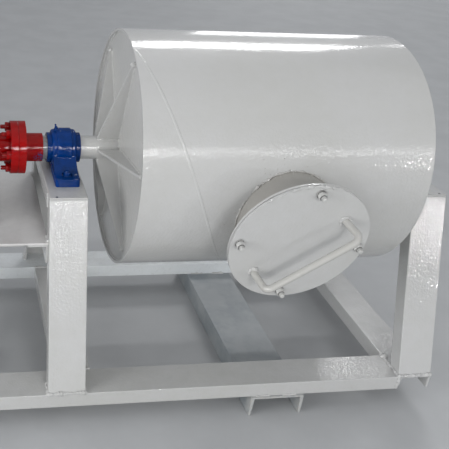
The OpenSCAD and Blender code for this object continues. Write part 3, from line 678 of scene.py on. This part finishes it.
drumWelds = {"gussets": 6, "phase": math.radians(-8), "gussetHalf": 0.005, "gussetRoot": 0.052, "gussetTip": 0.396,
             "gussetEnd": 0.0855, "leg": 0.0042, "tipLeg": 0.0085, "tipHalf": 0.009, "rimLeg": 0.0045,
             "shaftLeg": 0.006, "neckLeg": 0.0034, "collarLeg": 0.0045, "coverLeg": 0.0034, "coverArc": (62, 132),
             "handleLeg": 0.0065, "footLeg": 0.0045, "spatter": 260, "throw": 0.016, "dropSize": (0.0008, 0.0028)}


def makeDrumWelds(look):
    # beads along both sides of each gusset, round the end plates and shafts, and round the hatch's joints
    beads = []
    seed = 10
    for end in (-1, 1):
        out = np.array([float(end), 0.0, 0.0])
        for y, z, angle in spotsRound(look["gussets"], 1.0, look["phase"]):
            ray, across = np.array([0.0, y, z]), np.array([0.0, -z, y])
            for flank in (-1, 1):
                seed += 1
                foot = axisMiddle + across * flank * look["gussetHalf"]
                onPlate = [foot + out * plateX + ray * r for r in (look["gussetRoot"], look["gussetTip"])]
                onShaft = [foot + out * (plateX + d) + ray * (shaftR - 0.0002) for d in (0.006, look["gussetEnd"])]
                beads.append(weldBead(onPlate, look["leg"], seed, out, lumps=0.14))
                beads.append(weldBead(onShaft, look["leg"], seed + 100, ray, lumps=0.14))
            tip = axisMiddle + out * (plateX + 0.003) + ray * (look["gussetTip"] + 0.004)
            beads.append(weldBead([tip - across * look["tipHalf"], tip + across * look["tipHalf"]], look["tipLeg"],
                                  seed + 200, out, lumps=0.3))
        for radius, count, leg, key, lumps in ((plateR, 360, look["rimLeg"], 300, 0.12),
                                               (shaftR, 60, look["shaftLeg"], 301, 0.18)):
            ring = axisMiddle + np.stack([np.full(count, end * plateX), *circleOn(radius, count)], 1)
            beads.append(weldBead(ring, leg, seed + key, out, loop=True, lumps=lumps))
    collar = onHatch(*circleOn(hatch["neck"], 360), hatch["flangeBack"])
    beads.append(weldBead(collar, look["collarLeg"], 502, hatchOut, loop=True))
    angle = np.radians(np.linspace(*look["coverArc"], 90))
    rim = onHatch(hatch["coverR"] * np.cos(angle), hatch["coverR"] * np.sin(angle), hatch["cover"] - 0.001)
    beads.append(weldBead(rim, look["coverLeg"], 503, hatchOut, ripple=0.5, lumps=0.9, step=0.0016))
    for end in (-1, 1):
        legSide = end * hatch["handleHalf"] * math.cos(hatch["handleTurn"])
        legUp = end * hatch["handleHalf"] * math.sin(hatch["handleTurn"]) - hatch["handleDrop"]
        side, up = circleOn(hatch["handleBar"], 40)
        for grow, leg, height, key in ((1.0, look["handleLeg"], 0.001, 510), (1.35, look["footLeg"], 0.0, 520)):
            ring = onHatch(side * grow + legSide, up * grow + legUp, hatch["cover"] + height)
            beads.append(weldBead(ring, leg, key + end, hatchOut, loop=True, pitch=0.012, ripple=0.3, lumps=0.5,
                                  step=0.0015))
    return makePiece("drum_welds", beads, "drumEnamel", "drum")


def makeNeckWeld(look):
    # the bead where the neck meets the shell, with drops thrown to both sides of it, on the neck and on the shell
    side, up = circleOn(hatch["neck"] + 0.002, 360)
    saddle = onHatch(side, up, np.sqrt(shellR ** 2 - up ** 2))
    bead = weldBead(saddle, look["neckLeg"], 501, hatchOut, loop=True, pitch=0.011, ripple=0.30, lumps=0.55)
    draw = np.random.default_rng(77)
    count = look["spatter"]
    angle = draw.uniform(0, 2 * math.pi, count)
    size = look["dropSize"][0] + (look["dropSize"][1] - look["dropSize"][0]) * draw.random(count) ** 2
    reach = draw.exponential(look["throw"], count)
    onNeck = draw.random(count) < 0.5
    radius = hatch["neck"] + np.where(onNeck, 0.0, reach)
    side, up = radius * np.cos(angle), radius * np.sin(angle)
    shellOut = np.sqrt(shellR ** 2 - up ** 2)
    places = onHatch(side, up, shellOut + np.where(onNeck, reach, 0.0))
    neckLift = np.cos(angle)[:, None] * hatchSide + np.sin(angle)[:, None] * hatchUp
    shellLift = up[:, None] * hatchUp + shellOut[:, None] * hatchOut
    lifts = np.where(onNeck[:, None], neckLift, shellLift)
    return makePiece("neck_weld", [bead] + droplets(places, lifts, size), "pittedEnamel", "drum")


makeDrumWelds(drumWelds)
makeNeckWeld(drumWelds)

seam = {"from": -0.525, "start": math.radians(108.0), "lead": 0.1435, "growth": 0.01715, "width": 0.011,
        "height": 0.0012, "sink": 0.0004, "turns": 0.80, "uneven": 0.16}


def makeSeam(look):
    # a low crown on the shell: the place along the drum grows with the angle, and the height falls to nothing at
    # both edges of the seam's width
    count = 900
    turn = np.linspace(0, look["turns"] * 2 * math.pi, count)[:, None]
    angle = look["start"] + turn
    along = look["from"] + look["lead"] * turn + look["growth"] * turn ** 2
    across = np.linspace(-1, 1, 9)[None]
    draw = np.random.default_rng(61)
    rough = np.interp(np.arange(count), np.linspace(0, count, 260), draw.normal(0, 1, 260))[:, None]
    crown = look["height"] * np.sqrt(np.clip(1 - across ** 2, 0, 1)) * (1 + look["uneven"] * rough)
    high = shellR - look["sink"] + crown
    keep = along[:, 0] < rimX - 0.004
    x = along + across * look["width"] / 2
    points = np.stack([x + 0 * high, high * np.cos(angle), axisZ + high * np.sin(angle)], 2)[keep]
    radial = np.stack([np.zeros_like(high), np.cos(angle) + 0 * high, np.sin(angle) + 0 * high], 2)[keep]
    under = points - radial * (high[keep] - shellR + 0.0012)[..., None]
    ring = np.concatenate([points, under[:, ::-1][:, 1:-1]], 1)
    return makePiece("shell_seam", [sheetPart(ring, poles=True)], "drumEnamel", "drum")


makeSeam(seam)

print("hatch studs")

studs = {"count": 4, "rod": 0.009, "washer": 0.017, "washerThick": 0.004, "across": 0.028, "nut": 0.016,
         "head": 0.009, "crown": 0.16, "reach": 0.036, "pitch": 0.0025, "gap": 0.0002}


def washerPart(inner, outer, thick, edge, centre, direction, around):
    # a flat ring whose outer edges are broken
    return turned([(inner, 0), (outer - edge, 0), (outer, edge), (outer, thick - edge), (outer - edge, thick),
                   (inner, thick)], centre, direction, around, loop=True)


def makeStuds(look):
    # each stud is a washer, a nut, a rod through flange and cover, a thread past the nut and a head behind
    parts = []
    rod, thick, crown = look["rod"], look["washerThick"], look["crown"]
    face = hatch["cover"] + look["gap"]
    back = hatch["flangeBack"]
    base = back - 0.0012
    for i in range(look["count"]):
        angle = hatch["studPhase"] + i * 2 * math.pi / look["count"]
        side, up = hatch["studCircle"] * math.cos(angle), hatch["studCircle"] * math.sin(angle)
        hint = hatchSide * math.cos(0.4 + i) + hatchUp * math.sin(0.4 + i)
        parts += [
            washerPart(rod + 0.0004, look["washer"], thick, 0.0006, onHatch(side, up, face), hatchOut, 40),
            hexPiece(look["across"], look["nut"], onHatch(side, up, face + thick), hatchOut, bore=rod + look["gap"],
                     crown=crown, hint=hint),
            turned([(rod, 0), (rod, hatch["cover"] - base + 0.014)], onHatch(side, up, base), hatchOut, 24),
            threaded(rod, look["reach"], look["pitch"], onHatch(side, up, hatch["cover"]), hatchOut, 24),
            hexPiece(look["across"], look["head"], onHatch(side, up, back - look["head"] - look["gap"]), hatchOut,
                     crown=crown, hint=hint),
        ]
    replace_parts(makePiece("hatch_stud_set", parts, "studEnamel", "drum"), "hatch_studs")


makeStuds(studs)

print("frame welds")

frameWelds = {"leg": 0.0072, "mitreLeg": 0.0032, "mitre": 0.052, "cornerLeg": 0.0055, "lumpyLeg": 0.0085,
              "tailLeg": 0.0048, "crossLeg": 0.006, "tackLeg": 0.0055, "tack": 0.06, "plateLeg": 0.0080,
              "lean": math.atan((0.513 - 0.273) / (0.843 - 0.150)),  # from the post's foot to its top
              "postHalf": 0.070, "postDepth": 0.0636, "railWidth": 0.140, "spatter": 22, "throw": 0.004,
              "dropSize": (0.0010, 0.0028)}


def groundWeld(x, y, z, front, seed, look):
    # a low weld ground flat across the corner: its section is carried along X with slow waves in its back edge
    count = 41
    along = np.linspace(x - look["postHalf"] + 0.0005, x + look["postHalf"] - 0.0005, count)[:, None]
    section = np.array([[-0.0010, -0.0150], [-0.0016, -0.0125], [-0.0006, 0.0004], [0.005, 0.0044], [0.016, 0.0044],
                        [0.030, 0.0003], [0.030, -0.0020]])
    draw = np.random.default_rng(seed)
    wave = np.interp(np.arange(count), np.linspace(0, count, 8), draw.normal(0, 1, 8))[:, None]
    depth = section[None, :, 0] + np.array([0, 0, 0, 0, 0.0015, 0.003, 0.003]) * wave
    height = section[None, :, 1] + 0.0002 * wave * (section[None, :, 1] > 0)
    return sheetPart(np.stack([along + 0 * depth, y + front * depth, z + height], 2), poles=True)


def makePostWelds(look):
    # round each post's foot, along its top edge and down the mitre where the beam's flanges meet it
    beads, drops = [], []
    seed = 700
    draw = np.random.default_rng(seed)
    half, depth, drop, count = look["postHalf"], look["postDepth"], look["mitre"], look["spatter"]
    slope = math.tan(look["lean"])
    for name in ("left_front_post", "left_back_post", "right_front_post", "right_back_post", "drive_front_post",
                 "drive_back_post"):
        front = 1 if "front" in name else -1
        low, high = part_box(name)
        x = (low.x + high.x) / 2
        y = low.y if front > 0 else high.y
        back = y + front * depth
        seed += 1
        foot = [(x - half, back, railTop), (x - half, y, railTop), (x + half, y, railTop), (x + half, back, railTop)]
        beads.append(weldBead(foot, look["leg"], seed, upward, pitch=0.012, ripple=0.25, lumps=0.30))
        topY = y + front * (high.z - railTop) * slope
        beads.append(groundWeld(x, topY, high.z, front, seed + 20, look))
        for flank in (-1, 1):
            side = x + flank * half
            mitre = [(side, topY + front * depth, high.z), (side, topY + front * (depth - drop * slope), high.z - drop)]
            beads.append(weldBead(mitre, look["mitreLeg"], seed + 40 + flank, (0, front, 0), lumps=0.1))
        side = x + draw.uniform(-1.2 * half, 1.2 * half, count)
        away = y - front * draw.exponential(look["throw"], count)
        away = np.where(np.abs(side - x) < half, y - front * 0.001, away + front * 0.02)
        places = np.stack([side, away, np.full(count, railTop)], 1)
        size = draw.uniform(*look["dropSize"], count)
        drops += droplets(places, np.broadcast_to(upward, places.shape), size)
    return makePiece("post_welds", beads + drops, "weldEnamel", "frame")


def makeBaseWelds(look):
    # corner joints of the base frame, the cross member, the runners' tack welds and the platform's
    beads = []
    seed = 800
    for name, ends in (("right_end_member", -1), ("drive_end_member", 1)):
        low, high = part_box(name)
        x, top = low.x if ends < 0 else high.x, high.z
        for front in (-1, 1):
            outer = low.y if front < 0 else high.y
            inner = outer - front * look["railWidth"]
            seed += 1
            corner = [(x, inner, top - 0.001), (x, outer, top - 0.001), (x, outer, top - 0.058)]
            lumpy = [(x, inner - front * 0.004, top + 0.001), (x, inner + front * 0.075, top + 0.001)]
            tail = [(x - ends * 0.014, outer, top - 0.004), (x + ends * 0.002, outer, top - 0.050)]
            beads += [
                weldBead(corner, look["cornerLeg"], seed, (1, 0, 0.3), pitch=0.010, ripple=0.22, lumps=0.28),
                weldBead(lumpy, look["lumpyLeg"], seed + 50, upward, pitch=0.011, ripple=0.45, lumps=0.45),
                weldBead(tail, look["tailLeg"], seed + 60, (0, front, 0), pitch=0.011, ripple=0.3, lumps=0.35),
            ]
    low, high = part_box("left_cross_member")
    for y in (low.y, high.y):
        seed += 1
        beads.append(weldBead([(low.x, y, high.z), (high.x, y, high.z)], look["crossLeg"], seed, upward, lumps=0.25))
    for name in ("drum_runner", "drive_runner"):
        low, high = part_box(name)
        for rail in ("front_rail", "back_rail"):
            for y in (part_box(rail)[0].y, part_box(rail)[1].y):
                for x in (low.x + 0.02, high.x - 0.09):
                    seed += 1
                    beads.append(weldBead([(x, y, high.z), (x + look["tack"], y, high.z)], look["tackLeg"], seed,
                                          upward, lumps=0.28))
    low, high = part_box("drive_platform")
    for x in (high.x, low.x):
        for y in (low.y + 0.004, high.y - 0.054):
            seed += 1
            beads.append(weldBead([(x, y, high.z), (x, y + 0.05, high.z)], look["plateLeg"], seed, upward, lumps=0.42,
                                  ripple=0.35, pitch=0.014))
    return makePiece("base_welds", beads, "weldEnamel", "frame")


makePostWelds(frameWelds)
makeBaseWelds(frameWelds)

print("bearing and coupling fittings")

footBolts = {"across": 0.024, "head": 0.012, "washer": 0.0165, "rod": 0.008, "place": 0.148, "foot": 0.029,
             "nippleX": -0.0282, "bossTop": 0.077, "nippleLean": (-0.25, -0.20, 1.0)}


def boltSet(spot, look, turn):
    # a washer, a hexagon head on it and the end of its rod
    thick = 0.0032
    top = (spot[0], spot[1], spot[2] + thick)
    return [
        washerPart(0.6 * look["washer"], look["washer"], thick, 0.0006, spot, upward, 36),
        hexPiece(look["across"], look["head"], top, upward, hint=(math.cos(turn), math.sin(turn), 0.37)),
        threaded(look["rod"], look["head"] + 0.006, 0.0025, top, upward),
    ]


def makeBearingFittings(look):
    # a bolt in each pocket, and a grease nipple on each boss: a hexagon base, a waisted neck and a ball
    parts = []
    for x in bearingX:
        for front in (-1, 1):
            parts += boltSet((x, front * look["place"], beamTop + look["foot"] + 0.0002), look, x + front)
        spot = (x + look["nippleX"], 0.0, axisZ + look["bossTop"])
        parts += [
            hexPiece(0.012, 0.006, spot, look["nippleLean"]),
            turned([(0.0042, 0.004), (0.0042, 0.009), (0.0025, 0.012), (0.0025, 0.0135), (0.0036, 0.0155),
                    (0.0036, 0.0175), (0.0018, 0.0195)], spot, look["nippleLean"], 20),
        ]
    return makePiece("bearing_fittings", parts, "bearingBlue", "frame")


makeBearingFittings(footBolts)

collarScrews = {"radius": 0.0046, "stand": 0.0012, "sink": 0.002, "fromEnd": 0.0075, "angles": (100, 145, 220)}


def makeCollarScrews(look):
    # socket screws of the locking collars: a short turned plug with a hollow in its top
    parts = []
    collarR = (ringHigh.z - ringLow.z) / 2
    r, top = look["radius"], look["sink"] + look["stand"]
    plug = [(r, 0), (r, top - 0.0004), (r - 0.0004, top), (0.55 * r, top), (0.5 * r, top - 0.0018)]
    for ring in ("left_inner_ring", "right_inner_ring"):
        low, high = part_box(ring)
        for x in (low.x + look["fromEnd"], high.x - look["fromEnd"]):
            for angle in np.radians(look["angles"]):
                ray = np.array([0.0, math.cos(angle), math.sin(angle)])
                parts.append(turned(plug, np.array([x, 0, axisZ]) + ray * (collarR - look["sink"]), ray, 20))
    return makePiece("collar_screws", parts, "bearingBlue", "drum")


makeCollarScrews(collarScrews)

couplingPins = {"count": 6, "circle": 0.078, "rod": 0.009, "across": 0.030, "nut": 0.014, "washer": 0.017,
                "washerThick": 0.0028, "bush": 0.016, "flange": 0.028, "pitch": 0.0025, "gap": 0.0002}


def makeCouplingPins(look):
    # each pin is a rod with a rubber bush, a washer, a nut, a threaded stub and a snap ring on its far end
    parts = []
    low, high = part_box("coupling_pins")
    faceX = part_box("drive_coupling_half")[1].x - look["flange"]
    rod, bush, thick, gap = look["rod"], look["bush"], look["washerThick"], look["gap"]
    bushEnd = look["flange"] - 0.0005
    ahead, behind = (1, 0, 0), (-1, 0, 0)
    for y, z, angle in spotsRound(look["count"], look["circle"]):
        at = np.array([faceX, y, axisZ + z])
        parts += [
            turned([(rod, 0), (rod, high.x - faceX)], at, ahead, 24),
            turned([(rod - 0.001, 0), (bush - 0.0005, 0.0004), (bush, 0.001), (bush, bushEnd),
                    (rod - 0.001, bushEnd)], at, ahead, 32),
            turned([(rod + 0.0004, 0), (look["washer"], 0), (look["washer"], thick), (rod + 0.0004, thick)],
                   at - (gap, 0, 0), behind, 36, loop=True),
            hexPiece(look["across"], look["nut"], at - (thick + gap, 0, 0), behind, bore=rod + gap,
                     hint=(0, math.cos(angle * 1.7), math.sin(angle * 1.7))),
            threaded(rod, faceX - low.x, look["pitch"], at, behind, 24),
            turned([(rod - 0.0004, 0), (rod, 0.0008), (rod + 0.004, 0.0008), (rod + 0.004, 0.0016), (0.001, 0.0024)],
                   at + (high.x - faceX - 0.0012, 0, 0), ahead, 24),
        ]
    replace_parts(makePiece("coupling_pin_set", parts, "couplingRed", "drum"), "coupling_pins")


makeCouplingPins(couplingPins)

print("drive fittings")

driveBolts = {
    "flange": {"count": 8, "circle": 0.140, "across": 0.017, "height": 0.008, "left": -0.020, "right": 0.022,
               "draw": 1.0},
    "rim": {"count": 12, "circle": 0.1795, "across": 0.013, "height": 0.007, "left": 0.080, "right": 0.210,
            "draw": 0.970},  # draw is how far in the right-hand ring sits
    "foot": {"across": 0.024, "head": 0.012, "washer": 0.017, "rod": 0.008},
    "footPlace": (0.085 + 0.035, 0.085 + 0.165), "footSide": 0.184, "footPad": 0.028,
}


def makeDriveBolts(look):
    # rings of bolt heads on both faces of the motor flange and of the gear rims, and four bolts in the foot
    parts = []
    for ring in (look["flange"], look["rim"]):
        for y, z, angle in spotsRound(ring["count"], ring["circle"], math.pi / ring["count"]):
            hint = (0, math.cos(5 * angle), math.sin(5 * angle))
            for key, way, inner in (("left", -1, 1.0), ("right", 1, ring["draw"])):
                spot = (reducerX + ring[key], y * inner, axisZ + z * inner)
                parts.append(hexPiece(ring["across"], ring["height"], spot, (way, 0, 0), hint=hint, around=36))
    for x in look["footPlace"]:
        for side in (-1, 1):
            spot = (reducerX + x, side * look["footSide"], platformTop + look["footPad"] + 0.0002)
            parts += boltSet(spot, look["foot"], x * 40)
    return makePiece("drive_bolts", parts, "driveEnamel", "frame")


makeDriveBolts(driveBolts)

eyebolt = {"x": 0.145, "base": 0.180, "collar": 0.021, "eye": 0.023, "bar": 0.0055, "lift": 0.013}


def makeEyebolt(look):
    # a turned collar on the ring gear, and a torus that stands upright on it
    spot = np.array([reducerX + look["x"], 0.0, axisZ + look["base"]])
    collar, bar, eye = look["collar"], look["bar"], look["eye"]
    stem = turned([(collar, -0.002), (collar, 0.004), (collar - 0.002, 0.006), (0.009, 0.008), (0.008, 0.016)], spot,
                  upward)
    turn, section = turns(40)[:, None], turns(14)[None]
    reach = eye + bar * np.cos(section)
    torus = np.stack([reach * np.cos(turn), bar * np.sin(section) + 0 * turn, reach * np.sin(turn)], 2)
    torus = sheetPart(torus + (spot + (0, 0, look["lift"] + eye)), loopRows=True)
    return makePiece("reducer_eyebolt", [stem, torus], "driveEnamel", "frame")


makeEyebolt(eyebolt)

smallFittings = {"plugX": 0.145, "plugRadius": 0.180, "plugLifts": (-0.35, 0.30), "lidInset": 0.012, "screw": 0.004,
                 "gland": (0.004, 0.022, -0.034), "coverScrews": 4, "coverBack": 0.012}


def makeSmallFittings(look):
    # oil plugs at both sides of the ring gear, lid screws, a closed cable gland and the fan cover's screws
    parts = []
    for side in (-1, 1):
        for lift in look["plugLifts"]:
            ray = np.array([0.0, side * math.cos(lift), math.sin(lift)])
            spot = np.array([reducerX + look["plugX"], 0, axisZ]) + ray * look["plugRadius"]
            parts.append(turned([(0.014, -0.002), (0.014, 0.002), (0.0125, 0.003)], spot, ray, 28))
            parts.append(hexPiece(0.019, 0.009, spot + ray * 0.002, ray, hint=(1, 0, 0), around=36))
    low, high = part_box("terminal_box")
    inset, r = look["lidInset"], look["screw"]
    for x in (low.x + inset, high.x - inset):
        for y in (low.y + inset, high.y - inset):
            parts.append(turned([(r, -0.001), (r, 0.0012), (0.7 * r, 0.0026), (0.001, 0.0030)], (x, y, high.z),
                                upward, 20))
    gland = (low.x + look["gland"][0], look["gland"][1], high.z + look["gland"][2])
    parts.append(hexPiece(0.026, 0.009, gland, (-1, 0, 0), hint=(0, 0.3, 1)))
    parts.append(turned([(0.0125, 0.008), (0.0125, 0.016), (0.0105, 0.021), (0.006, 0.023), (0.004, 0.0225)], gland,
                        (-1, 0, 0), 28))
    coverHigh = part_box("motor_fan_cover")[1]
    for y, z, angle in spotsRound(look["coverScrews"], coverHigh.y, math.pi / 4):
        ray = (0.0, math.cos(angle), math.sin(angle))
        parts.append(turned([(r, -0.001), (r, 0.0010), (0.7 * r, 0.0022), (0.001, 0.0026)],
                            (coverHigh.x - look["coverBack"], y, axisZ + z), ray, 20))
    return makePiece("drive_fittings", parts, "driveEnamel", "frame")


makeSmallFittings(smallFittings)

studio = {"floorHalf": 14, "floorDrop": 0.0012, "floor": ((0.45, 0.46, 0.47), (0.49, 0.50, 0.51)), "floorRough": 0.75,
          "front": (0.37, 0.38, 0.39), "back": (0.33, 0.34, 0.36), "backdrop": (0.43, 0.44, 0.46)}


def makeFloor(look):
    # a square sheet just under the runners
    line = np.linspace(-look["floorHalf"], look["floorHalf"], 41)
    x, y = np.meshgrid(line, line, indexing="ij")
    points = np.stack([x, y, 0 * x - look["floorDrop"]], 2)
    material, tree, shader = newMaterial("paleFloor")
    shade = blendColour(tree, ramp(tree, noise(tree, 3, 5, 0.6), 0.3, 0.7), *look["floor"])
    feed(tree, shader, {"Base Color": shade, "Roughness": look["floorRough"]})
    finishes["paleFloor"] = material
    makePiece("floor", [sheetPart(points, loopColumns=False)], "paleFloor")


def makeWorld(look):
    # soft light that is stronger from the front than from the back, and one plain colour where it is seen
    world = bpy.data.worlds.new("studio")
    world.use_nodes = True
    tree = world.node_tree
    forward = partsOf(tree, put(tree, "ShaderNodeTexCoord").outputs["Generated"])["Y"]
    soft = blendColour(tree, ramp(tree, forward, -0.9, 0.7), look["front"], look["back"])
    light = put(tree, "ShaderNodeLightPath").outputs
    seen = sums(tree, "ADD", light["Is Camera Ray"], light["Is Glossy Ray"])
    seen = sums(tree, "ADD", seen, light["Is Transmission Ray"], clamp=True)
    feed(tree, tree.nodes["Background"], {"Color": blendColour(tree, seen, soft, look["backdrop"]), "Strength": 1.0})
    bpy.context.scene.world = world


makeFloor(studio)
makeWorld(studio)
bpy.context.scene.view_settings.view_transform = "Standard"

print("done")
